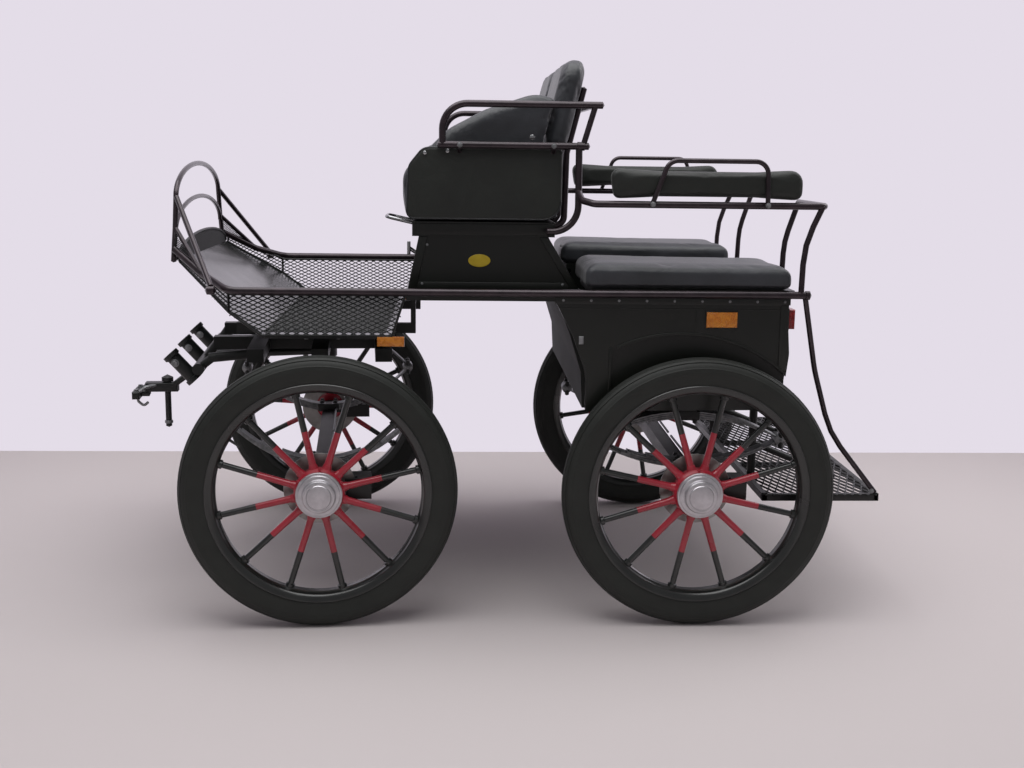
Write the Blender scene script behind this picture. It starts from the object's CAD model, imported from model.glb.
import math

import bmesh
import bpy
import numpy as np
from mathutils import Matrix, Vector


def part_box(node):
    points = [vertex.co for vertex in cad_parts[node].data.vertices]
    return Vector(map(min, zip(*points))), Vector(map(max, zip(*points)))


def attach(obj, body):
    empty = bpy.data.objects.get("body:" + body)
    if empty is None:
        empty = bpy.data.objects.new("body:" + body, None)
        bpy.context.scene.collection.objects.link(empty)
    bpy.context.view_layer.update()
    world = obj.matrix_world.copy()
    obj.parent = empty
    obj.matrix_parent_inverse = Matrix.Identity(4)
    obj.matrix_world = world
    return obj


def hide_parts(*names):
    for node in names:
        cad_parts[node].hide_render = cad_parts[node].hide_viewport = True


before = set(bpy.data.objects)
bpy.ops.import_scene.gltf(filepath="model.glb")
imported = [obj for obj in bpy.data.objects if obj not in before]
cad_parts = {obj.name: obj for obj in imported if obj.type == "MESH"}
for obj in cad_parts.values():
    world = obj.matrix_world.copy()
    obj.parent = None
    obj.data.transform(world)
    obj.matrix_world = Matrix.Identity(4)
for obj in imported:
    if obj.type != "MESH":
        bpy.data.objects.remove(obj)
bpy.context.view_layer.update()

# A light horse carriage: wheels on tubular spokes, a fore-carriage, a mesh foot
# basket, an upholstered driver's bench and two side benches. Lengths in the tables
# are millimetres, x forward from the rear axle, y to the left, z above the ground.

MM = 0.001
WHEELS = ("front_left", "front_right", "rear_left", "rear_right")


def centre_of(node):
    """Middle of a CAD node's box."""
    low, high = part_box(node)
    return (np.array(low) + np.array(high)) / 2


REAR_AXLE = centre_of("tyre_rear_left")
FRONT_LEFT, FRONT_RIGHT = centre_of("tyre_front_left"), centre_of("tyre_front_right")
KINGPIN = np.array([(FRONT_LEFT[0] + FRONT_RIGHT[0]) / 2, 0.0, 0.0])
# the fore-carriage stands turned a little to the left
REST_TURN = math.atan2(FRONT_RIGHT[0] - FRONT_LEFT[0], FRONT_LEFT[1] - FRONT_RIGHT[1])
WHEELBASE = (KINGPIN[0] - REAR_AXLE[0]) / MM
RAIL_Y = 600
SEAT_Y = 500
TUB_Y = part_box("tub_sides")[1][1] / MM
BENCH_RAIL_Z = 1230
ARM_Z = 1506
STEP_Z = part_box("rear_step")[0][2] / MM + 22
TOE_X, TOE_Y, TOE_Z = 1530, 410, 1040
BASKET_Z = 846


def metres(points):
    """Table points in millimetres from the rear axle, as metres in the frame."""
    return np.asarray(points, float) * MM + np.array([REAR_AXLE[0], 0.0, 0.0])


# ---- materials -------------------------------------------------------------


def linear(text):
    """sRGB hex to linear red, green, blue and alpha."""
    parts = np.array([int(text[i:i + 2], 16) / 255 for i in (1, 3, 5)])
    low = parts / 12.92
    high = ((parts + 0.055) / 1.055) ** 2.4
    return (*np.where(parts <= 0.04045, low, high), 1.0)


def add(tree, kind, links=None, **settings):
    """Adds a node, sets its properties, and sets or links the named or numbered inputs."""
    made = tree.nodes.new(kind)
    for key, value in settings.items():
        setattr(made, key, value)
    for key, value in (links or {}).items():
        if isinstance(value, bpy.types.NodeSocket):
            tree.links.new(value, made.inputs[key])
        else:
            made.inputs[key].default_value = value
    return made


def finish_of(name, hex_a, hex_b, scale, rough, bump, metallic=0.0, coat=0.0, grain=None, spread=0.08,
              sheen=0.0, stretch=(1, 1, 1)):
    """A surface whose colour wanders between two tones, with a bump at the grain's own scale.

    scale is the tone pattern and grain the bump pattern, in repeats per metre.
    """
    made = bpy.data.materials.new(name)
    made.use_nodes = True
    tree = made.node_tree
    shader = tree.nodes["Principled BSDF"]
    where = add(tree, "ShaderNodeTexCoord").outputs["Object"]
    turned = add(tree, "ShaderNodeMapping", {"Vector": where, "Scale": stretch}).outputs[0]
    tone = add(tree, "ShaderNodeTexNoise", {"Vector": turned, "Scale": scale, "Detail": 4.0})
    ramp = add(tree, "ShaderNodeMapRange", {0: tone.outputs["Fac"], 1: 0.35, 2: 0.65})
    mix = add(tree, "ShaderNodeMix", {"Factor": ramp.outputs[0], 6: linear(hex_a), 7: linear(hex_b)},
              data_type="RGBA")
    tree.links.new(mix.outputs[2], shader.inputs["Base Color"])
    shine = add(tree, "ShaderNodeMapRange", {0: tone.outputs["Fac"], 3: rough - spread, 4: rough + spread})
    tree.links.new(shine.outputs[0], shader.inputs["Roughness"])
    if grain:
        fine = add(tree, "ShaderNodeTexNoise", {"Vector": turned, "Scale": grain, "Detail": 2.0})
        relief = add(tree, "ShaderNodeBump", {"Height": fine.outputs["Fac"], "Strength": bump,
                                              "Distance": 0.001})
        tree.links.new(relief.outputs[0], shader.inputs["Normal"])
    shader.inputs["Metallic"].default_value = metallic
    shader.inputs["Coat Weight"].default_value = coat
    shader.inputs["Coat Roughness"].default_value = 0.12
    shader.inputs["Sheen Weight"].default_value = sheen
    return made


def leather_of(name, hex_a, hex_b, rough):
    """Coach vinyl: 1.5 mm pebble grain over soft creases, a satin top coat with a faint sheen."""
    made = finish_of(name, hex_a, hex_b, 9.0, rough, 0.2, sheen=0.15)
    tree = made.node_tree
    shader = tree.nodes["Principled BSDF"]
    where = add(tree, "ShaderNodeTexCoord").outputs["Object"]
    pebble = add(tree, "ShaderNodeTexVoronoi", {"Vector": where, "Scale": 1 / 0.0022})
    crease = add(tree, "ShaderNodeTexNoise", {"Vector": where, "Scale": 16.0, "Detail": 3.0,
                                              "Distortion": 0.8})
    soft = add(tree, "ShaderNodeBump", {"Height": crease.outputs["Fac"], "Strength": 0.22, "Distance": 0.012})
    fine = add(tree, "ShaderNodeBump", {"Height": pebble.outputs["Distance"], "Strength": 0.3,
                                        "Distance": 0.0006, "Normal": soft.outputs[0]})
    tree.links.new(fine.outputs[0], shader.inputs["Normal"])
    return made


def lens_of(name, hex_a, hex_b):
    """Moulded reflector lens: clear coat over a 3.5 mm grid of corner prisms that glint in turn."""
    made = finish_of(name, hex_a, hex_b, 60.0, 0.28, 0.0, coat=0.6)
    tree = made.node_tree
    shader = tree.nodes["Principled BSDF"]
    where = add(tree, "ShaderNodeTexCoord").outputs["Object"]
    prism = add(tree, "ShaderNodeTexVoronoi", {"Vector": where, "Scale": 1 / 0.0035}, distance="CHEBYCHEV")
    relief = add(tree, "ShaderNodeBump", {"Height": prism.outputs["Distance"], "Strength": 0.7,
                                          "Distance": 0.002})
    tree.links.new(relief.outputs[0], shader.inputs["Normal"])
    return made


# moulded tyre rubber: matt, a little grey dust in the tread
RUBBER = finish_of("moulded_tyre_rubber", "#151814", "#1d201c", 14.0, 0.6, 0.35, grain=420.0)
# gloss coach enamel on smooth board: deep black, soft reflections, faint brush ripple
ENAMEL = finish_of("black_coach_enamel", "#060a05", "#0b0f08", 5.0, 0.36, 0.06, coat=0.12, grain=45.0)
# the same enamel rubbed down to a matt face on the board behind the front wheels
MATT = finish_of("rubbed_black_enamel", "#060a05", "#0a0d08", 5.0, 0.75, 0.1, grain=120.0)
# powder coat on steel frame parts: satin black with a fine orange peel
POWDER = finish_of("black_powder_coat", "#0e100f", "#171918", 9.0, 0.42, 0.25, grain=600.0)
# metallic burgundy enamel on drawn tube: dark, with a purple-grey shine
RAIL = finish_of("burgundy_rail_enamel", "#281f24", "#352a30", 30.0, 0.32, 0.15, metallic=0.6, coat=0.4,
                 grain=300.0)
# gloss red wheel enamel
RED = finish_of("red_wheel_enamel", "#981c2c", "#ac2436", 12.0, 0.3, 0.08, coat=0.5, grain=160.0)
# gloss black wheel enamel on rims and outer spokes
BLACK = finish_of("black_wheel_enamel", "#121413", "#1b1e1c", 12.0, 0.3, 0.1, coat=0.5, grain=160.0)
# turned and satin-finished aluminium
ALLOY = finish_of("turned_satin_aluminium", "#b9b6ba", "#cbc8cc", 40.0, 0.36, 0.12, metallic=0.85,
                  grain=900.0)
# galvanised spring and brake steel, with dull spangle
ZINC = finish_of("galvanised_steel", "#77787a", "#9b9c9e", 70.0, 0.45, 0.2, metallic=0.8, grain=500.0)
# machined brake disc
DISC = finish_of("ground_disc_steel", "#8b8886", "#a5a2a0", 30.0, 0.35, 0.1, metallic=0.9, grain=700.0)
# polished steel controls
BRIGHT = finish_of("polished_steel", "#9fa0a2", "#b5b6b8", 20.0, 0.2, 0.03, metallic=1.0, grain=200.0)
# smooth gloss sheet of the toe board
SHEET = finish_of("gloss_black_sheet", "#1a1c1b", "#252726", 6.0, 0.24, 0.05, coat=0.4, grain=30.0)
AMBER = lens_of("amber_reflector_lens", "#c06c08", "#d4840c")
RED_LENS = lens_of("red_lamp_lens", "#8c0f14", "#a8161c")
# enamelled oval plate, blank
YELLOW = finish_of("yellow_enamel_plate", "#b89c14", "#ccb022", 30.0, 0.35, 0.05, coat=0.3, grain=300.0)
LEATHER = leather_of("black_coach_vinyl", "#2a2c30", "#34363b", 0.42)
LEATHER_SIDE = leather_of("black_side_vinyl", "#0b100b", "#121711", 0.55)
PIPING = finish_of("vinyl_piping", "#1a1c1e", "#24272a", 60.0, 0.4, 0.1, grain=500.0)


# ---- meshes ----------------------------------------------------------------


def steered(points, body):
    """Points of the fore-carriage and its wheels, turned on the kingpin as it stands."""
    if body != "fore_carriage" and not body.startswith("wheel_front"):
        return points
    c, s = math.cos(REST_TURN), math.sin(REST_TURN)
    x, y, z = (points - KINGPIN).T
    return KINGPIN + np.stack([c * x - s * y, s * x + c * y, z], -1)


def piece(name, parts, body, materials, replaces=(), sharp=35, smooth=True):
    """One object from parts, each (vertices, faces, material number), placed on a body."""
    verts, faces, mats, base = [], [], [], 0
    for points, polygons, number in parts:
        verts.append(np.asarray(points, float))
        faces += [[base + i for i in f] for f in polygons]
        mats += [number] * len(polygons)
        base += len(points)
    mesh = bpy.data.meshes.new(name)
    mesh.from_pydata(steered(np.concatenate(verts), body).tolist(), [], faces)
    for material in materials:
        mesh.materials.append(material)
    mesh.polygons.foreach_set("material_index", mats)
    mesh.polygons.foreach_set("use_smooth", [smooth] * len(faces))
    mesh.validate()
    clean = bmesh.new()
    clean.from_mesh(mesh)
    bmesh.ops.recalc_face_normals(clean, faces=clean.faces)
    clean.to_mesh(mesh)
    clean.free()
    mesh.set_sharp_from_angle(angle=math.radians(sharp))
    made = bpy.data.objects.new(name, mesh)
    bpy.context.scene.collection.objects.link(made)
    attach(made, body)
    if replaces:
        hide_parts(*replaces)
    return made


def band(rows, columns, wrap_rows=False, wrap_columns=True):
    """Quads of a grid of rows x columns points, closed along either side."""
    i, j = np.meshgrid(np.arange(rows - (not wrap_rows)), np.arange(columns - (not wrap_columns)),
                       indexing="ij")
    i2, j2 = (i + 1) % rows, (j + 1) % columns
    quads = np.stack([i * columns + j, i2 * columns + j, i2 * columns + j2, i * columns + j2], -1)
    return quads.reshape(-1, 4).tolist()


def lathe(profile, centre, side, turns, number=0):
    """Surface of revolution about Y: profile rows are radius and outward offset in mm, a closed loop.

    point = centre + (r cos t, side * offset, r sin t)
    """
    profile = np.asarray(profile, float) * MM
    t = np.linspace(0, 2 * np.pi, turns, endpoint=False)[:, None]
    r, out = profile[:, 0][None], profile[:, 1][None]
    points = np.stack([r * np.cos(t), side * out + 0 * t, r * np.sin(t)], -1).reshape(-1, 3)
    return points + centre, band(turns, len(profile), True, True), number


def bend(points, radius, step=8):
    """Line through points with an arc at each inner point, as rings every step degrees."""
    points = np.asarray(points, float)
    path = [points[0]]
    for a, p, b in zip(points[:-2], points[1:-1], points[2:]):
        u, w = (a - p) / np.linalg.norm(a - p), (b - p) / np.linalg.norm(b - p)
        half = np.arccos(np.clip(u @ w, -1, 1)) / 2
        middle = p + (u + w) / np.linalg.norm(u + w) * radius / np.sin(half)
        start = p + u * radius / np.tan(half) - middle
        across = np.cross(np.cross(start, p - middle), start)
        across *= radius / np.linalg.norm(across)
        turn = np.pi - 2 * half
        t = np.linspace(0, turn, max(3, int(np.degrees(turn) / step) + 1))[:, None]
        path.extend(middle + start * np.cos(t) + across * np.sin(t))
    path.append(points[-1])
    return np.array(path)


def tube(path, diameter, sides=16):
    """Round tube along a path in mm, its ends closed by a small dome.

    Each ring stands square to the path, its normal carried on without twist.
    """
    path = metres(path)
    diameter = np.broadcast_to(np.asarray(diameter, float) * MM, len(path))
    along = np.gradient(path, axis=0)
    along /= np.linalg.norm(along, axis=1)[:, None]
    normal = np.array([1.0, 0, 0]) if abs(along[0][2]) > 0.8 else np.array([0, 0, 1.0])
    normals = []
    for t in along:
        normal = normal - (normal @ t) * t
        normal /= np.linalg.norm(normal)
        normals.append(normal)
    normals = np.array(normals)
    other = np.cross(along, normals)
    dome = np.array([0.0, 0.55, 0.87, 1.0])
    depth = 0.25 * (1 - dome[:, None])
    centres = np.concatenate([path[:1] - along[:1] * diameter[0] * depth, path[1:-1],
                              path[-1:] + along[-1:] * diameter[-1] * depth[::-1]])
    radii = np.concatenate([diameter[0] / 2 * dome, diameter[1:-1] / 2, diameter[-1] / 2 * dome[::-1]])
    spread = lambda v: np.concatenate([np.repeat(v[:1], 4, 0), v[1:-1], np.repeat(v[-1:], 4, 0)])
    n, b = spread(normals), spread(other)
    a = np.linspace(0, 2 * np.pi, sides, endpoint=False)
    ring = np.cos(a)[None, :, None] * n[:, None] + np.sin(a)[None, :, None] * b[:, None]
    points = centres[:, None] + radii[:, None, None] * ring
    points[0], points[-1] = points[0].mean(0), points[-1].mean(0)
    points = points.reshape(-1, 3)
    rows = len(centres)
    faces = band(rows, sides)
    body = [f for k, f in enumerate(faces) if sides <= k < len(faces) - sides]
    last = (rows - 1) * sides
    body += [[0, sides + (k + 1) % sides, sides + k] for k in range(sides)]
    body += [[last, last - sides + k, last - sides + (k + 1) % sides] for k in range(sides)]
    return points, body


def rod(path, diameter, sides=16, number=0):
    """A tube as a part with its material number."""
    return (*tube(path, diameter, sides), number)


def pipe(points, radius, diameter, sides=16, number=0):
    """A bent tube as a part with its material number."""
    return rod(bend(points, radius), diameter, sides, number)


def mirrored(part):
    """The same part on the other side, y to -y, with its faces turned round."""
    points, faces = part[0] * np.array([1, -1, 1]), [f[::-1] for f in part[1]]
    return (points, faces, *part[2:])


def both(parts):
    """Parts and their mirror images."""
    return list(parts) + [mirrored(p) for p in parts]


def rounded(rows, steps=8):
    """Outline whose rows are x, z, corner radius: each corner an arc of the given radius."""
    rows = np.asarray(rows, float)
    outline = []
    for k in range(len(rows)):
        p, a, b, r = rows[k, :2], rows[k - 1, :2], rows[(k + 1) % len(rows), :2], rows[k, 2]
        if r == 0:
            outline.append(p)
            continue
        u, w = (a - p) / np.linalg.norm(a - p), (b - p) / np.linalg.norm(b - p)
        half = np.arccos(np.clip(u @ w, -1, 1)) / 2
        middle = p + (u + w) / np.linalg.norm(u + w) * r / np.sin(half)
        start = p + u * r / np.tan(half) - middle
        turn = (np.pi - 2 * half) * (-1 if u[0] * w[1] - u[1] * w[0] > 0 else 1)
        for t in np.linspace(0, turn, steps + 1):
            outline.append(middle + [start[0] * np.cos(t) - start[1] * np.sin(t),
                                     start[0] * np.sin(t) + start[1] * np.cos(t)])
    return np.array(outline)


def inset(outline, by):
    """Outline moved inwards by a distance along each corner's bisector."""
    before, after = np.roll(outline, 1, 0), np.roll(outline, -1, 0)
    u, w = outline - before, after - outline
    u /= np.linalg.norm(u, axis=1)[:, None] + 1e-9
    w /= np.linalg.norm(w, axis=1)[:, None] + 1e-9
    turn = np.sign(np.sum(before[:, 0] * outline[:, 1] - before[:, 1] * outline[:, 0]))
    n = np.stack([-(u + w)[:, 1], (u + w)[:, 0]], -1) * turn
    n /= np.linalg.norm(n, axis=1)[:, None] + 1e-9
    cosine = np.clip(np.sum(n * np.stack([-u[:, 1], u[:, 0]], -1) * turn, 1), 0.35, 1)
    return outline + n * (by / cosine)[:, None]


def slab(outline, low, high, edge=2.0, axis="y", number=0, steps=3):
    """Board of a given outline between two planes, its edges rounded by a quarter circle.

    axis y: the outline is x, z and the planes are y. axis x: y, z. axis z: x, y.
    """
    a = np.linspace(0, np.pi / 2, steps + 1)
    levels = [(low + edge * (1 - np.sin(t)), edge * (1 - np.cos(t))) for t in a[::-1]]
    levels += [(high - edge * (1 - np.sin(t)), edge * (1 - np.cos(t))) for t in a]
    rings = []
    for depth, by in levels:
        flat = inset(np.asarray(outline, float), by)
        full = np.full(len(flat), depth)
        order = {"y": (flat[:, 0], full, flat[:, 1]), "x": (full, flat[:, 0], flat[:, 1]),
                 "z": (flat[:, 0], flat[:, 1], full)}[axis]
        rings.append(np.stack(order, -1))
    count = len(outline)
    faces = band(len(rings), count)
    faces += [list(range(count))[::-1], [(len(rings) - 1) * count + k for k in range(count)]]
    return metres(np.concatenate(rings)), faces, number


def box(x0, x1, y0, y1, z0, z1, edge=1.5, number=0):
    """Rectangular block with rounded edges, sides in mm."""
    return slab([[x0, z0], [x1, z0], [x1, z1], [x0, z1]], y0, y1, edge, "y", number)


def bolt(at, axis, radius, height, number=0):
    """Hexagon head with a domed washer: six flats on a round flange."""
    at, axis = np.asarray(at, float), np.asarray(axis, float) / np.linalg.norm(axis)
    side = np.cross(axis, [0.3, 0.5, 0.81])
    side /= np.linalg.norm(side)
    other = np.cross(axis, side)
    levels = [(0.0, 1.35, 12), (0.2, 1.3, 12), (0.22, 1.0, 6), (0.85, 1.0, 6), (1.0, 0.86, 6)]
    a = np.linspace(0, 2 * np.pi, 12, endpoint=False)
    rings = []
    for up, wide, corners in levels:
        reach = wide if corners == 12 else wide * np.where(np.arange(12) % 2, math.cos(math.pi / 6), 1.0)
        ring = (np.cos(a) * reach)[:, None] * side + (np.sin(a) * reach)[:, None] * other
        rings.append(at + axis * up * height + ring * radius)
    faces = band(len(rings), 12) + [list(range(12))[::-1], [48 + k for k in range(12)]]
    return metres(np.concatenate(rings)), faces, number


def ribbon(path, thick, y0, y1, number=0):
    """Flat strip that follows a path of x, z points, thick below the path, from y0 to y1."""
    path = np.asarray(path, float)
    along = np.gradient(path, axis=0)
    down = np.stack([along[:, 1], -along[:, 0]], -1) / np.linalg.norm(along, axis=1)[:, None]
    low = path + down * thick
    e = 1.2
    ring = [(path, y0 + e), (path, y1 - e), (path + down * e, y1), (low - down * e, y1),
            (low, y1 - e), (low, y0 + e), (low - down * e, y0), (path + down * e, y0)]
    points = np.stack([np.stack([p[:, 0], np.full(len(p), y), p[:, 1]], -1) for p, y in ring], 1)
    rows = len(path)
    faces = band(rows, 8) + [list(range(8))[::-1], [(rows - 1) * 8 + k for k in range(8)]]
    return metres(points.reshape(-1, 3)), faces, number


def inside(points, outline):
    """Which 2D points lie inside an outline: an odd count of edges crossed by a ray."""
    x, y = points[:, 0][:, None], points[:, 1][:, None]
    a, b = outline, np.roll(outline, -1, 0)
    over = (a[:, 1] > y) != (b[:, 1] > y)
    cross = a[:, 0] + (y - a[:, 1]) * (b[:, 0] - a[:, 0]) / (b[:, 1] - a[:, 1] + 1e-12)
    return (np.sum(over & (x < cross), 1) % 2) == 1


def expanded(outline, origin, u_axis, v_axis, long_way, short_way, strand, thick, number=0):
    """Expanded metal inside an outline: zigzag strands whose rows meet in diamonds.

    A strand runs from (i, j) to (i + 1/2, j +- 1/2) in steps of the long and short way of
    the mesh. Each is a flat bar, tilted a little as the sheet is when it is pulled open.
    """
    outline = np.asarray(outline, float)
    low, high = outline.min(0), outline.max(0)
    i, j = np.meshgrid(np.arange(int((high[0] - low[0]) / long_way * 2) + 2),
                       np.arange(int((high[1] - low[1]) / short_way) + 2), indexing="ij")
    i, j = i.ravel(), j.ravel()
    rise = np.where(i % 2 == 0, 1, -1)
    ends = []
    for sign in (1, -1):
        start = np.stack([low[0] + i * long_way / 2, low[1] + (j - sign * rise / 4) * short_way], -1)
        stop = np.stack([low[0] + (i + 1) * long_way / 2, low[1] + (j + sign * rise / 4) * short_way], -1)
        ends.append(np.stack([start + [0, sign * short_way / 4], stop + [0, sign * short_way / 4]], 1))
    ends = np.concatenate(ends)
    ends = ends[inside(ends.mean(1), outline)]
    u, v = np.asarray(u_axis, float), np.asarray(v_axis, float)
    n = np.cross(u, v)
    a, b = ends[:, 0], ends[:, 1]
    way = (b - a) / np.linalg.norm(b - a, axis=1)[:, None]
    side = np.stack([-way[:, 1], way[:, 0]], -1) * strand / 2
    corners = []
    for end, reach in ((a, -1), (b, 1)):
        for s, t in ((-1, -1), (1, -1), (1, 1), (-1, 1)):
            flat = end + way * reach * strand * 0.3 + side * s
            depth = t * thick / 2 + s * thick * 0.45
            corners.append(flat[:, :1] * u + flat[:, 1:] * v + depth * n)
    points = np.stack(corners, 1) + np.asarray(origin, float)
    cell = np.array([[0, 1, 5, 4], [1, 2, 6, 5], [2, 3, 7, 6], [3, 0, 4, 7], [3, 2, 1, 0], [4, 5, 6, 7]])
    faces = (np.arange(len(ends))[:, None, None] * 8 + cell).reshape(-1, 4).tolist()
    return metres(points.reshape(-1, 3)), faces, number


# ---- soft pieces -------------------------------------------------------------


def pillow(name, outline, low, high, edge, squeeze, voxel, cap, axis="y", lean=(0, 0, 0)):
    """A stuffed pad: a board of the given outline with round edges, blown up as cloth.

    squeeze is how far the board starts inside its place, cap how far a point may swell.
    lean is x0, z0, slope: each point moves along x by x0 + slope (z - z0).
    """
    points, faces, _ = slab(inset(np.asarray(outline, float), squeeze), low + squeeze, high - squeeze,
                            edge, axis, steps=5)
    points[:, 0] += lean[0] * MM + lean[2] * (points[:, 2] - lean[1] * MM)
    mesh = bpy.data.meshes.new(name)
    mesh.from_pydata(points.tolist(), [], faces)
    clean = bmesh.new()
    clean.from_mesh(mesh)
    bmesh.ops.recalc_face_normals(clean, faces=clean.faces)
    clean.to_mesh(mesh)
    clean.free()
    made = bpy.data.objects.new(name, mesh)
    bpy.context.scene.collection.objects.link(made)
    remesh = made.modifiers.new("voxels", "REMESH")
    remesh.mode = "VOXEL"
    remesh.voxel_size = voxel * MM
    baked = bpy.data.meshes.new_from_object(made.evaluated_get(bpy.context.evaluated_depsgraph_get()))
    made.modifiers.clear()
    made.data = baked
    count = len(baked.vertices)
    rest = np.empty(count * 3)
    baked.vertices.foreach_get("co", rest)
    rest = rest.reshape(-1, 3)
    cloth = made.modifiers.new("cloth", "CLOTH")
    cloth.settings.use_pressure = True
    cloth.settings.uniform_pressure_force = 4.0
    cloth.settings.effector_weights.gravity = 0.0
    cloth.settings.quality = 4
    cloth.settings.tension_stiffness = 12.0
    cloth.settings.compression_stiffness = 12.0
    cloth.settings.bending_stiffness = 1.0
    scene = bpy.context.scene
    for f in range(1, 21):
        scene.frame_set(f)
    blown = made.evaluated_get(bpy.context.evaluated_depsgraph_get())
    grown = np.empty(count * 3)
    blown.data.vertices.foreach_get("co", grown)
    move = grown.reshape(-1, 3) - rest
    size = np.linalg.norm(move, axis=1)[:, None] + 1e-9
    made.modifiers.clear()
    scene.frame_set(1)
    rest = rest + move * np.minimum(1.0, cap * MM / size)
    baked.vertices.foreach_set("co", rest.ravel())
    baked.update()
    return made


def dress(made, name, node, material):
    """Makes the left and right pads of a blown pad, each with its material and subdivision."""
    source = made.data
    for side, flip in (("left", False), ("right", True)):
        mesh = source.copy()
        if flip:
            co = np.empty(len(mesh.vertices) * 3)
            mesh.vertices.foreach_get("co", co)
            co = co.reshape(-1, 3) * [1, -1, 1]
            mesh.vertices.foreach_set("co", co.ravel())
            mesh.flip_normals()
        mesh.materials.clear()
        mesh.materials.append(material)
        mesh.polygons.foreach_set("use_smooth", [True] * len(mesh.polygons))
        pad = bpy.data.objects.new(name + "_" + side, mesh)
        bpy.context.scene.collection.objects.link(pad)
        smooth = pad.modifiers.new("subdivision", "SUBSURF")
        smooth.levels = smooth.render_levels = 1
        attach(pad, "carriage")
        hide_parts(node + "_" + side)
    bpy.data.objects.remove(made)


# ---- wheels ------------------------------------------------------------------


def tyre_profile():
    """Tyre section: a round crown with five fine grooves, shoulders, walls and beads."""
    a = np.radians(np.linspace(-100, 100, 121))
    crown = 37.5 - 2.2 * np.clip(np.cos(a * 16) * 3 - 1.9, 0, 1) * (np.abs(a) < np.radians(48))
    crown += 0.9 * np.exp(-((np.abs(a) - np.radians(74)) / 0.05) ** 2)
    tread = np.stack([362.5 + crown * np.cos(a), np.clip(crown * np.sin(a), -37.4, 37.4)], -1)
    return np.concatenate([tread, [[335, 35.5], [322, 32.5], [312, 29], [309, 26], [309, -26], [312, -29],
                                   [322, -32.5], [335, -35.5]]])


def wheels():
    """Four wheels: tyre, ridged rim, tubular spokes, hub with brake disc, stepped cap."""
    rim = [[321, -36], [323, -34.5], [321, -32.5], [313, -30.5], [309, -27], [305, -14], [304, -12],
           [304, 12], [305, 14], [309, 27], [313, 30.5], [321, 32.5], [323, 34.5], [321, 36], [312, 35],
           [305, 31], [300, 27], [299, 24], [300, 21], [299, 18], [297, 14], [294, 10], [294, -10],
           [297, -14], [299, -18], [300, -21], [299, -24], [300, -27], [305, -31], [312, -35]]
    hub = [[23, -52], [46, -52], [50, -48], [50, -26], [58, -20], [70, -17], [73, -13], [73, 13], [70, 17],
           [66, 22], [66, 29.8], [23, 29.8]]
    disc = [[52, -50], [104, -50], [105, -49], [105, -46], [104, -45], [52, -45]]
    cap = [[0.2, 30.1], [66, 30.1], [67, 31], [67, 37], [65.5, 39], [61, 40], [60, 44.5], [58, 46], [50, 47],
           [48, 48.5], [47, 57], [45, 60], [40, 61.5], [38, 61], [36, 61.5], [34, 64], [20, 66], [0.2, 66]]
    phases = {"front_left": 17.5, "front_right": 4.0, "rear_left": 13.0, "rear_right": 21.0}
    spoke_count, spoke_sides = 12, 14
    for name in WHEELS:
        side = 1 if name.endswith("left") else -1
        x = KINGPIN[0] if name.startswith("front") else REAR_AXLE[0]
        middle = np.array([x, side * REAR_AXLE[1], REAR_AXLE[2]])
        body = "wheel_" + name + "_body"
        at = lambda r, t, out: [(middle[0] - REAR_AXLE[0]) / MM + r * math.cos(t),
                                middle[1] / MM + side * out, middle[2] / MM + r * math.sin(t)]
        piece("tyre_tread_" + name, [lathe(tyre_profile(), middle, side, 128)], body,
              [RUBBER], ["tyre_" + name], sharp=28)
        spokes, collars = [], []
        for k in range(spoke_count):
            t = math.radians(phases[name] + 360 / spoke_count * k)
            radii = np.array([60, 78, 120, 184, 186, 240, 285, 297.0])
            wide = np.array([25, 22, 20, 19, 19, 18, 18, 20.0])
            points, faces = tube([at(r, t, 0) for r in radii], wide, spoke_sides)
            # the first seven rings, four of them the dome's, bound the red half
            red_end = spoke_sides * 7
            spokes += [(points, [f for f in faces if max(f) < red_end], 0),
                       (points, [f for f in faces if max(f) >= red_end], 1)]
            collars.append(rod([at(286, t, 0), at(299, t, 0)], 27, 12, 1))
            collars.append(rod([at(70, t, 0), at(84, t, 0)], [30, 24], 12))
        t = math.radians(phases[name] + 15)
        valve = [rod([at(298, t, 4), at(262, t, 12)], [9, 7], 10, 1)]
        piece("spoked_rim_" + name, [lathe(rim, middle, side, 128, 1)] + spokes + collars + valve, body,
              [RED, BLACK], ["wheel_" + name])
        nuts = []
        for k in range(6):
            t = math.radians(phases[name] + 15 + 60 * k)
            nuts.append(bolt(at(69, t, 16), (0, side, 0), 4.2, 6))
        piece("hub_barrel_" + name, [lathe(hub, middle, side, 64)] + nuts, body,
              [RED])
        piece("brake_disc_" + name, [lathe(disc, middle, side, 96)], body, [DISC])
        piece("cap_" + name, [lathe(cap, middle, side, 72)], body, [ALLOY],
              ["hub_cap_" + name], sharp=25)


# ---- running gear --------------------------------------------------------------


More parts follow.
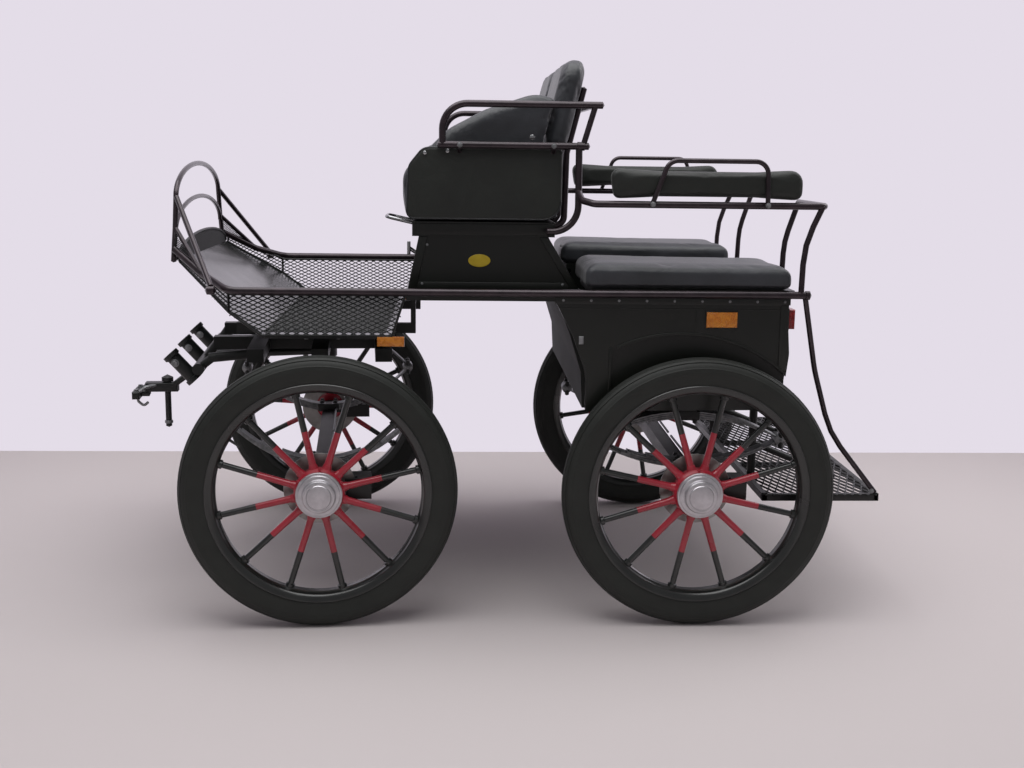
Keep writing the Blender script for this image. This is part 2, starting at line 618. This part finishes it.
def leaf_springs(name, body, node, x, z_low, z_high, half):
    """Full elliptic springs: four leaves above and four below, clamped in the middle.

    Leaf k follows z = rise (1 - (x / half)^2) - pitch k, shorter by a fifth each time.
    """
    leaves, thick, pitch = 4, 5.8, 6.3
    middle, rise = (z_low + z_high) / 2, (z_high - z_low) / 2
    parts = []
    for s in (1, -1):
        for k in range(leaves):
            reach = half * (1 - 0.2 * k)
            u = np.linspace(-reach, reach, 25)
            z = middle + s * (rise * (1 - (u / half) ** 2) - pitch * k)
            path = np.stack([x + u, z], -1)
            path = path if s > 0 else path[::-1]
            parts.append(ribbon(path, thick, 398, 442))
        clamp_z = middle + s * (rise - 13)
        parts.append(box(x - 38, x + 38, 394, 446, clamp_z - 16, clamp_z + 12, 2, 1))
        for dx in (-24, 24):
            for y in (400, 440):
                parts.append(bolt([x + dx, y, clamp_z - s * 16], (0, 0, -s), 7, 9, 1))
    for s in (-1, 1):
        eye = x + s * (half - 8)
        parts.append(rod([[eye, 393, middle], [eye, 447, middle]], 36, 20))
        for y, way in ((395, -1), (445, 1)):
            parts.append(bolt([eye, y, middle], (0, way, 0), 9, 7, 1))
            parts.append(rod([[eye, y, middle - 24], [eye, y, middle + 24]], 16, 10, 1))
    piece(name, both(parts), body, [ZINC, POWDER], [node])


def running_gear():
    """Axles, springs and frames. The CAD beams stay, and get coats, bolts and brake parts."""
    leaf_springs("front_leaf_springs", "fore_carriage", "front_springs", WHEELBASE, 423, 745, 300)
    leaf_springs("rear_leaf_springs", "carriage", "rear_springs", 0, 423, 600, 300)
    for body, x in (("fore_carriage", WHEELBASE), ("carriage", 0)):
        parts = []
        # pads that bolt the springs to the axle beam
        for dx in (-16, 16):
            for y in (405, 435):
                parts.append(bolt([x + dx, y, 377], (0, 0, -1), 8, 9))
        # hydraulic line along the beam to each caliper
        parts.append(pipe([[x - 27, 30, 428], [x - 27, 380, 430], [x - 60, 520, 434], [x - 105, 532, 416]],
                          40, 8, 10))
        parts.append(bolt([x - 128, 534, 418], (0, 0, 1), 7, 10))
        parts.append(bolt([x - 88, 534, 418], (0, 0, 1), 7, 10))
        piece("brake_lines_" + ("front" if x else "rear"), both(parts), body, [ZINC])
    # bolts through the turntable's lower ring
    ring = []
    for k in range(12):
        t = math.radians(30 * k + 15)
        ring.append(bolt([WHEELBASE + 195 * math.cos(t), 195 * math.sin(t), 785], (0, 0, -1), 8, 8))
    piece("turntable_bolts", ring, "fore_carriage", [ZINC])


def hitch():
    """The three sockets with rolled collars, and the drop bracket with its pin."""
    tilt = math.radians(48)
    x_cross, z_cross = WHEELBASE + 372, 706
    back = 35
    base = np.array([x_cross + back * math.cos(math.pi / 2 - tilt), 0,
                     z_cross - back * math.sin(math.pi / 2 - tilt)])
    way = np.array([math.cos(tilt), 0, math.sin(tilt)])
    sides = 40
    a = np.linspace(0, 2 * np.pi, sides, endpoint=False)
    across, flat = np.array([0, 1.0, 0]), np.cross(way, [0, 1.0, 0])
    # radius, distance along the socket
    profile = [[17, -14], [25, -20], [26, -19], [26, -7], [25, -6], [21, -5], [21, 76], [25, 78], [26, 79],
               [26, 91], [25, 92], [17.2, 92], [17.2, -13]]
    profile = np.array(profile, float)
    parts = []
    for y in (300, 0, -300):
        ring = np.cos(a)[:, None, None] * across + np.sin(a)[:, None, None] * flat
        points = base + [0, y, 0] + profile[None, :, :1] * ring + profile[None, :, 1:] * way
        parts.append((metres(points.reshape(-1, 3)), band(sides, len(profile), True, False), 0))
        end = base + [0, y, 0] + way * -14
        disc = np.concatenate([[end], end + 17 * ring[:, 0]])
        parts.append((metres(disc), [[0, 1 + k, 1 + (k + 1) % sides] for k in range(sides)], 0))
        lock = base + [0, y, 0] + way * 60
        parts.append(rod([lock + [0, 18, 0], lock + [0, 42, 0]], 12, 10, 1))
        parts.append(bolt(lock + [0, 40, 0], (0, 1, 0), 9, 6, 1))
    piece("socket_tubes", parts, "fore_carriage", [POWDER, ZINC], ["hitch_sockets"])
    x = WHEELBASE
    bars = [rod([[x_cross, 44, z_cross - 14], [x + 500, 12, 594]], 18)]
    head = both(bars) + [box(x + 480, x + 585, -22, 22, 578, 608, 4),
                         rod([[x + 515, 0, 460], [x + 515, 0, 620]], 20),
                         rod([[x + 515, 0, 612], [x + 515, 0, 624]], 38),
                         rod([[x + 515, 0, 470], [x + 515, 0, 478]], 27, number=1),
                         rod([[x + 575, 0, 572], [x + 612, 0, 572]], 24),
                         box(x + 598, x + 622, -60, 60, 560, 584, 5)]
    for y in (-42, 42):
        head.append(bolt([x + 610, y, 584], (0, 0, 1), 8, 8, 1))
        head.append(pipe([[x + 550, y * 0.4, 600], [x + 582, y * 0.8, 596], [x + 608, y, 578]], 18, 12, 10,
                         1))
    # drop hook that hangs behind the pin
    head.append(pipe([[x + 606, 0, 566], [x + 614, 0, 545], [x + 594, 0, 528], [x + 580, 0, 540]], 9, 9, 10,
                     1))
    piece("drop_bracket", head, "fore_carriage", [POWDER, ZINC], ["pole_head"])


# ---- foot basket -----------------------------------------------------------------


def basket():
    """Expanded metal sides, nose and dash with their edge strips, and the toe board's ribs."""
    y = TUB_Y - 2
    foot_x, nose_x, back_x = 1266, 1355, 892
    rail_low = 964
    nose_z = BASKET_Z + (TOE_Z - BASKET_Z) * (nose_x - foot_x) / (TOE_X - foot_x)
    side = np.array([[back_x, BASKET_Z], [foot_x, BASKET_Z], [nose_x, nose_z], [nose_x, rail_low],
                     [back_x - 38, rail_low]], float)
    parts = [expanded(side, (0, y, 0), (1, 0, 0), (0, 0, 1), 27, 12.5, 3.2, 1.8)]
    edge = 7
    for a, b in zip(side, np.roll(side, -1, 0)):
        parts.append(rod([[a[0], y, a[1]], [b[0], y, b[1]]], edge, 8))
    # nose panel from the side panel's end to the toe board's narrow edge
    start, stop = np.array([nose_x, y, 0.0]), np.array([TOE_X - 4, TOE_Y, 0.0])
    span = np.linalg.norm(stop - start)
    u = (stop - start) / span
    nose = np.array([[0, nose_z], [span, TOE_Z], [span, TOE_Z + 26], [0, rail_low + 2]], float)
    parts.append(expanded(nose, start, u, (0, 0, 1), 27, 12.5, 3.2, 1.8))
    for a, b in zip(nose, np.roll(nose, -1, 0)):
        parts.append(rod([start + u * a[0] + [0, 0, a[1]], start + u * b[0] + [0, 0, b[1]]], edge, 8))
    piece("basket_mesh", both(parts), "carriage", [POWDER], ["basket_sides"], smooth=False)
    t = np.radians(np.linspace(0, 180, 25))
    arch = np.stack([(TOE_Y - 14) * np.cos(t), TOE_Z + 8 + 60 * np.sin(t)], -1)
    arch = np.concatenate([arch, [[-TOE_Y + 14, TOE_Z], [TOE_Y - 14, TOE_Z]]])
    dash = [expanded(arch, (TOE_X + 2, 0, 0), (0, 1, 0), (0, 0, 1), 12, 6, 1.7, 1.2)]
    dash.append(rod([[TOE_X + 2, p[0], p[1]] for p in arch[:25]], 9, 10))
    # small gussets between the hoop's leg, its lower stay and the side rail
    foot, way = np.array([1541.0, 398.0, 0.0]), np.array([-95.0, 95.0, 0.0]) / math.hypot(95, 95)
    gusset = np.array([[0, 1078], [0, 1124], [126, 1020]], float)
    dash += both([expanded(gusset, foot, way, (0, 0, 1), 12, 6, 1.7, 1.2)])
    piece("dash_mesh", dash, "carriage", [POWDER], ["dash_panel"], smooth=False)
    # stiffening lips along the toe board's sides and three ribs under it
    lips = [rod([[foot_x, TUB_Y - 8, BASKET_Z + 3], [nose_x, TUB_Y - 8, nose_z + 3],
                 [TOE_X - 2, TOE_Y - 10, TOE_Z + 2]], 8, 10)]
    lips.append(box(back_x - 2, foot_x, TUB_Y - 34, TUB_Y - 8, BASKET_Z - 10, BASKET_Z - 1, 2))
    piece("toe_board_lips", both(lips), "carriage", [POWDER])
    # ribbed rubber mat on the basket's floor
    mat = []
    for k in range(24):
        px = back_x + 30 + k * 14.5
        mat.append(box(px, px + 7, -520, 520, BASKET_Z + 2.9, BASKET_Z + 6.5, 1.2))
    mat.append(box(back_x + 20, foot_x - 12, -530, 530, BASKET_Z + 2.6, BASKET_Z + 4.4, 0.6))
    piece("floor_mat", mat, "carriage", [RUBBER])


def rail_piece(name, parts, materials, *nodes):
    """Rails of the body, each in place of the named CAD nodes."""
    piece(name, parts, "carriage", materials, nodes)


def hoops_and_rails():
    """Side rails, rein hoops with stays, bench rails, armrests and step rails, all bent tube."""
    x = TOE_X + 14
    t = np.radians(np.linspace(0, 180, 33))
    arch = lambda half, foot, rise: np.stack([np.full(33, float(x)), half * np.cos(t),
                                              foot + rise * np.sin(t)], -1)
    big = np.concatenate([[[x, TOE_Y - 3, TOE_Z], [x, 370, 1135]], arch(345, 1225, 97),
                          [[x, -370, 1135], [x, 3 - TOE_Y, TOE_Z]]])
    parts = [rod(big, 16), rod(arch(364, 1122, 95), 14), rod([[x - 3, -TOE_Y, TOE_Z + 6],
                                                              [x - 3, TOE_Y, TOE_Z + 6]], 14)]
    stays = [rod([[x - 2, 348, 1226], [1402, RAIL_Y - 4, 987]], 16),
             rod([[x - 2, 370, 1134], [1446, 497, 1016]], 14)]
    rail_piece("hoops_with_stays", parts + both(stays), [RAIL], "rein_hoops")
    route = [[-300, RAIL_Y, 975], [1352, RAIL_Y, 975], [1440, 500, 1010], [TOE_X + 11, 402, 1074]]
    side = [pipe(route, 60, 22, 20), rod([[-312, RAIL_Y, 975], [-300, RAIL_Y, 975]], 26, 20)]
    rail_piece("long_side_rails", both(side), [RAIL], "side_rails")
    z = BENCH_RAIL_Z
    bench = [pipe([[357, SEAT_Y + 12, z + 30], [350, RAIL_Y - 38, z + 8], [318, RAIL_Y, z],
                   [-346, RAIL_Y, z], [-346, 312, z]], 22, 20),
             pipe([[-337, RAIL_Y, z], [-289, RAIL_Y, 1120], [-287, RAIL_Y, 975]], 280, 17),
             pipe([[-344, 312, z], [-306, 312, 1110], [-303, 312, 981]], 250, 17),
             pipe([[158, RAIL_Y + 22, z], [112, RAIL_Y + 22, 1354], [-168, RAIL_Y + 22, 1354],
                   [-172, RAIL_Y + 22, z]], 36, 14)]
    for px in (156, -172):
        bench.append(rod([[px, RAIL_Y + 24, z + 2], [px, RAIL_Y, z]], 12))
        bench.append(bolt([px, RAIL_Y + 28, z + 2], (0, 1, 0), 6, 5, 1))
    for px in (240, -250):
        bench.append(rod([[px, RAIL_Y, z], [px, RAIL_Y - 16, z + 2]], 12))
    rail_piece("bench_grab_rails", both(bench), [RAIL, ZINC], "bench_rails")
    y = SEAT_Y + 12
    arms = [pipe([[750, y, 1390], [750, y, ARM_Z], [292, y, ARM_Z]], 72, 20),
            rod([[762, y, 1390], [330, y, 1390]], 20), rod([[312, y, ARM_Z], [346, y, 1390]], 17),
            pipe([[357, y, 1392], [355, y, 1145], [445, y, 1145]], 75, 20),
            rod([[440, y + 6, 1145], [440, 450, 1145]], 16)]
    for px in (430, 700):
        arms.append(rod([[px, y + 4, 1384], [px, SEAT_Y - 4, 1372]], 14))
        arms.append(bolt([px, y + 9, 1390], (0, 1, 0), 6, 5, 1))
    rear = [rod([[312, -y, ARM_Z], [312, y, ARM_Z]], 17)]
    rail_piece("seat_arm_rails", both(arms) + rear, [RAIL, ZINC], "armrests")
    posts = []
    for py in (140, 360):
        posts.append(pipe([[470, py, 1155], [384, py, 1155], [380, py, 1370], [332, py, 1560]], 28, 20))
        posts.append(bolt([352, py, 1490], (-1, 0, 0), 7, 6, 1))
    rail_piece("backrest_posts", both(posts), [RAIL, ZINC], "seat_back_frame")
    steps = [pipe([[-302, RAIL_Y - 6, 967], [-352, 556, 750], [-410, 548, 560], [-560, 548, STEP_Z + 2]],
                  300, 16)]
    steps.append(bolt([-548, 556, STEP_Z + 8], (0, 1, 0), 6, 5, 1))
    rail_piece("step_grab_rails", both(steps), [RAIL, ZINC], "step_rails")
    # clamps where the rails meet
    joints = []
    for at in ([1402, RAIL_Y, 976], [352, SEAT_Y + 12, 1390]):
        joints.append(rod([np.array(at) - [10, 0, 0], np.array(at) + [10, 0, 0]], 25))
    rail_piece("rail_clamps", both(joints), [RAIL])


# ---- bodywork ----------------------------------------------------------------------


def bodywork():
    """Mouldings, seams and fittings on the CAD boards of the box and the tub."""
    trims = []
    # slanted mouldings down the seat box, a plinth strip and the slab's rounded nosing
    y = 450
    for top, foot in ((436, 340), (819, 852)):
        s = 1 if foot > top else -1
        trims.append(slab([[top, 1124], [foot, 967], [foot - s * 26, 967], [top - s * 26, 1124]], y, y + 6,
                          1.6))
    trims.append(slab([[347, 967], [841, 967], [838, 990], [361, 990]], y, y + 4, 1.4))
    trims.append(box(424, 826, y + 6, y + 10, 1130, 1163, 1.4))
    piece("box_mouldings", both(trims), "carriage", [ENAMEL])
    y = TUB_Y
    seams = [box(-262, 424, y - 0.5, y + 3, 944, 963, 1.2), box(-258, -234, y - 0.5, y + 3, 750, 944, 1.2),
             box(-250, 410, y - 0.5, y + 1.5, 929, 932, 0.6)]
    for px in (13, -26):
        seams.append(box(px - 1.5, px + 1.5, y - 0.5, y + 1.5, 866, 930, 0.6))
    # lip that follows the wheel arch: radius 455 to 462 about the arch's centre
    t = np.radians(np.linspace(41, 139, 41))
    outer = np.stack([50 + 463 * np.cos(t), 400 + 463 * np.sin(t)], -1)
    inner = np.stack([50 + 455 * np.cos(t), 400 + 455 * np.sin(t)], -1)
    keep = lambda p: (p[:, 0] > -255) & (p[:, 0] < 256)
    seams.append(slab(np.concatenate([outer[keep(outer)], inner[keep(inner)][::-1]]), y - 1, y + 4, 1.0))
    # squared end of the recess, then the strip ahead of it
    seams.append(box(256, 264, y - 1, y + 4, 640, 816, 1.2))
    piece("tub_mouldings", both(seams), "carriage", [ENAMEL])
    screws = []
    for px in np.linspace(-245, 400, 9):
        screws.append(bolt([px, y + 3, 954], (0, 1, 0), 3, 2))
    for px, pz in ((372, 985), (378, 1100), (815, 985), (800, 1100)):
        screws.append(bolt([px + 20 if px < 400 else px - 6, 455, pz], (0, 1, 0), 3, 2))
    # catch of the front locker
    screws.append(box(339, 353, y - 1, y + 5, 826, 850, 2))
    piece("panel_screws", both(screws), "carriage", [ZINC])
    lamp, rim = [], []
    lamp.append(box(-107, -17, TUB_Y, TUB_Y + 9, 878, 923, 3))
    lamp.append(box(857, 935, TUB_Y - 12, TUB_Y + 1.8, 815.5, 844.5, 3))
    t = np.linspace(0, 2 * np.pi, 32, endpoint=False)
    plate = np.stack([640 + 33 * np.cos(t), 1054 + 19 * np.sin(t)], -1)
    lamp.append(slab(plate, 449.5, 453, 1.2, number=1))
    rim.append(box(-110, -14, TUB_Y - 1, TUB_Y + 4, 875, 926, 2, 2))
    piece("side_reflectors", both(lamp + rim), "carriage", [AMBER, YELLOW, POWDER],
          ["reflectors"])
    tail = [box(-298, -276, 456, 514, 864, 922, 4, 0), box(-280, -262, 453, 517, 861, 925, 3, 1)]
    piece("tail_lamp_pair", both(tail), "carriage", [RED_LENS, POWDER], ["tail_lamps"])


def entry():
    """Rear step with its open tread, and the door with its frame, hinges and handle."""
    half, front, back = 560, -215, -570
    frame_bars = [box(back, front, half - 16, half, STEP_Z - 22, STEP_Z, 2),
                  box(back, back + 16, -half, half, STEP_Z - 22, STEP_Z, 2),
                  box(front - 16, front, -half, half, STEP_Z - 22, STEP_Z, 2),
                  box(back + 8, front - 8, 150, 166, STEP_Z - 20, STEP_Z - 3, 2)]
    flat = np.array([[back + 10, -half + 8], [front - 10, -half + 8], [front - 10, half - 8],
                     [back + 10, half - 8]], float)
    # the long way of the tread's diamonds lies across the step
    swapped = flat[:, ::-1]
    tread = expanded(swapped, (0, 0, STEP_Z - 1.5), (0, 1, 0), (1, 0, 0), 70, 24, 4.6, 2.4)
    arms = [rod([[-240, 300, STEP_Z - 12], [-240, 300, 602]], 26),
            rod([[back + 60, 300, STEP_Z - 14], [-236, 300, 470]], 20),
            bolt([-240, 314, 585], (0, 1, 0), 8, 6)]
    bars = both([frame_bars[0], frame_bars[3]]) + frame_bars[1:3]
    piece("open_tread_step", bars + [tread] + both(arms), "carriage", [POWDER],
          ["rear_step"], smooth=False)
    y = 240
    door = [box(-274, -258, -y, y, 637, 960, 2, 0)]
    for z0, z1 in ((641, 667), (929, 955)):
        door.append(box(-277, -272, -y + 4, y - 4, z0, z1, 1.5, 0))
    for y0, y1 in ((-y + 4, -y + 30), (y - 30, y - 4)):
        door.append(box(-277, -272, y0, y1, 667, 929, 1.5, 0))
    for z0 in (760, 900):
        door.append(rod([[-278, 236, z0], [-278, 236, z0 + 36]], 14, 14, 1))
        door.append(box(-279, -273, 176, 232, z0 + 4, z0 + 32, 1.2, 1))
        door.append(bolt([-279, 200, z0 + 18], (-1, 0, 0), 4, 3, 1))
    door.append(pipe([[-274, -204, 867], [-291, -200, 867], [-291, -140, 867], [-274, -136, 867]], 6, 9, 12,
                     1))
    piece("panelled_rear_door", door, "rear_door_body", [ENAMEL, ZINC], ["rear_door"])


# ---- upholstery ----------------------------------------------------------------------


def upholstery():
    """Side boards, seat cushions with their bolsters, backrests, bench cushions and back pads."""
    outline = rounded([[402, 1176, 55], [856, 1176, 24], [850, 1330, 50], [806, 1384, 40], [402, 1384, 16]])
    board = slab(outline, SEAT_Y - 34, SEAT_Y - 1, 11, steps=6)
    bead = [rod([[p[0], SEAT_Y - 5, p[1]] for p in inset(outline, 3)], 6, 8, 1)]
    knobs = [bolt([800, SEAT_Y - 3, 1366], (0, 1, 0), 6, 6, 2),
             bolt([735, SEAT_Y - 3, 1372], (0, 1, 0), 6, 6, 2),
             bolt([490, SEAT_Y - 39, 1414], (0, 1, 0), 9, 7, 2)]
    piece("padded_side_boards", both([board] + bead + knobs), "carriage",
          [LEATHER_SIDE, PIPING, BRIGHT], ["seat_sides"], sharp=60)
    seat = rounded([[406, 1168, 10], [866, 1168, 30], [878, 1300, 70], [818, 1388, 50], [406, 1352, 16]])
    made = pillow("seat", seat, 6, SEAT_Y - 117, 16, 5, 8, 10)
    dress(made, "seat_pad", "seat_cushion", LEATHER)
    bolster = rounded([[404, 1168, 10], [868, 1168, 30], [880, 1310, 70], [740, 1446, 120], [630, 1504, 160],
                       [480, 1553, 110], [416, 1534, 18], [456, 1371, 6], [404, 1371, 10]])
    made = pillow("bolster", bolster, SEAT_Y - 115, SEAT_Y - 37, 18, 4, 6, 8)
    dress(made, "side_bolster", "seat_bolster", LEATHER)
    # backrests: rounded front view, leaning back
    back = rounded([[10, 1376, 34], [10, 1650, 72], [440, 1650, 72], [440, 1376, 34]])
    made = pillow("back", back, 0, 64, 18, 5, 6, 10, "x", (391, 1376, -66 / 276))
    dress(made, "backrest_pad", "seat_back", LEATHER)
    bench = rounded([[-276, 987, 10], [-276, 1052, 30], [350, 1058, 28], [350, 987, 10]])
    made = pillow("bench", bench, 243, RAIL_Y + 6, 18, 5, 8, 10)
    dress(made, "bench_pad", "bench_cushion", LEATHER)
    pad = rounded([[268, 1242, 22], [282, 1335, 28], [-282, 1335, 40], [-282, 1242, 26]])
    made = pillow("pad", pad, RAIL_Y - 39, RAIL_Y + 11, 14, 4, 6, 7)
    dress(made, "bench_back_pad", "bench_back", LEATHER_SIDE)


def controls():
    """Pull handle under the bench and the small brake lever, bright steel."""
    parts = [pipe([[838, 360, 1158], [918, 360, 1176], [918, 240, 1176], [838, 240, 1158]], 25, 11),
             rod([[828, 300, 1062], [852, 300, 1078]], 12), box(848, 858, 288, 312, 1058, 1098, 2)]
    piece("bench_controls", parts, "carriage", [BRIGHT], ["seat_controls"])


def coat_frame():
    """Coats for the CAD pieces that stay: material by node."""
    coats = {"turntable_lower": ZINC, "turntable_upper": POWDER, "fore_frame": POWDER, "front_axle": POWDER,
             "rear_axle": POWDER, "body_frame": POWDER, "basket_floor": SHEET, "toe_board": SHEET,
             "seat_deck": ENAMEL, "seat_box": ENAMEL, "tub_floor": ENAMEL, "tub_sides": ENAMEL,
             "tub_front": MATT, "bench_boxes": ENAMEL}
    for name, material in coats.items():
        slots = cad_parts[name].material_slots
        for k in range(len(slots)):
            slots[k].material = material


# ---- floor, light and camera ------------------------------------------------------------

PALE_WALL = "#e4dde8"
PALE_FLOOR = "#cbc3c3"


def stage():
    """Pale floor and a one-sided pale wall behind, and an even studio light from above."""
    made = bpy.data.materials.new("plain_pale_floor")
    made.use_nodes = True
    shader = made.node_tree.nodes["Principled BSDF"]
    shader.inputs["Base Color"].default_value = linear(PALE_FLOOR)
    shader.inputs["Roughness"].default_value = 0.85
    mesh = bpy.data.meshes.new("floor")
    mesh.from_pydata([(-30, -30, 0), (30, -30, 0), (30, 30, 0), (-30, 30, 0)], [], [(0, 1, 2, 3)])
    mesh.materials.append(made)
    floor = bpy.data.objects.new("floor", mesh)
    bpy.context.scene.collection.objects.link(floor)
    wall_mat = bpy.data.materials.new("plain_pale_wall")
    wall_mat.use_nodes = True
    tree = wall_mat.node_tree
    tree.nodes.clear()
    light = add(tree, "ShaderNodeLightPath")
    back = add(tree, "ShaderNodeNewGeometry").outputs["Backfacing"]
    glow = add(tree, "ShaderNodeEmission", {"Color": linear(PALE_WALL), "Strength": 1.0})
    matt = add(tree, "ShaderNodeBsdfDiffuse", {"Color": linear(PALE_WALL)})
    seen = add(tree, "ShaderNodeMath", {0: light.outputs["Is Camera Ray"], 1: light.outputs["Is Glossy Ray"]},
               operation="MAXIMUM")
    face = add(tree, "ShaderNodeMixShader", {0: seen.outputs[0], 1: matt.outputs[0], 2: glow.outputs[0]})
    clear = add(tree, "ShaderNodeBsdfTransparent")
    one_sided = add(tree, "ShaderNodeMixShader", {0: back, 1: face.outputs[0], 2: clear.outputs[0]})
    add(tree, "ShaderNodeOutputMaterial", {"Surface": one_sided.outputs[0]})
    mesh = bpy.data.meshes.new("wall")
    y = -1.5
    mesh.from_pydata([(12, y, 0), (-12, y, 0), (-12, y, 7), (12, y, 7)], [], [(0, 1, 2, 3)])
    mesh.materials.append(wall_mat)
    wall = bpy.data.objects.new("wall", mesh)
    bpy.context.scene.collection.objects.link(wall)
    world = bpy.data.worlds.new("studio")
    bpy.context.scene.world = world
    world.use_nodes = True
    tree = world.node_tree
    tree.nodes.clear()
    light = add(tree, "ShaderNodeLightPath")
    shown = add(tree, "ShaderNodeBackground", {"Color": linear(PALE_WALL), "Strength": 1.0})
    fill = add(tree, "ShaderNodeBackground", {"Color": linear("#f2f0f4"), "Strength": 0.3})
    mix = add(tree, "ShaderNodeMixShader", {0: light.outputs["Is Camera Ray"], 1: fill.outputs[0],
                                            2: shown.outputs[0]})
    add(tree, "ShaderNodeOutputWorld", {"Surface": mix.outputs[0]})
    # name, power in watts, size, place, aimed at
    lamps = [("ceiling_panel", 190, 4.5, (0.4, 0.8, 4.6), (0.0, 0.0, 0.6)),
             ("rear_panel", 40, 2.5, (-2.6, -0.9, 3.2), (0.0, 0.0, 0.8))]
    for name, watts, size, place, target in lamps:
        data = bpy.data.lights.new(name, "AREA")
        data.shape, data.size, data.energy = "SQUARE", size, watts
        lamp = bpy.data.objects.new(name, data)
        lamp.location = place
        way = np.array(target) - np.array(place)
        lamp.rotation_euler = (math.atan2(math.hypot(way[0], way[1]), -way[2]), 0,
                               math.atan2(way[1], way[0]) - math.pi / 2)
        bpy.context.scene.collection.objects.link(lamp)


def camera():
    """Camera at standing height on the carriage's left, a little ahead of its middle."""
    yaw, pitch, roll = math.radians(2.81), math.radians(10.51), math.radians(0.78)
    place = (REAR_AXLE[0] + 0.721, 4.176, 1.375)
    ahead = np.array([-math.sin(yaw) * math.cos(pitch), -math.cos(yaw) * math.cos(pitch), -math.sin(pitch)])
    right = np.array([-math.cos(yaw), math.sin(yaw), 0.0])
    up = np.cross(right, ahead)
    across = math.cos(roll) * right + math.sin(roll) * up
    rise = -math.sin(roll) * right + math.cos(roll) * up
    data = bpy.data.cameras.new("camera")
    data.sensor_width, data.lens = 36.0, 44.2
    made = bpy.data.objects.new("camera", data)
    turn = Matrix((across, rise, -ahead)).transposed()
    made.matrix_world = Matrix.Translation(place) @ turn.to_4x4()
    bpy.context.scene.collection.objects.link(made)
    bpy.context.scene.camera = made


bpy.context.scene.view_settings.view_transform = "Standard"
camera()
stage()
coat_frame()
wheels()
running_gear()
hitch()
basket()
hoops_and_rails()
bodywork()
entry()
upholstery()
controls()
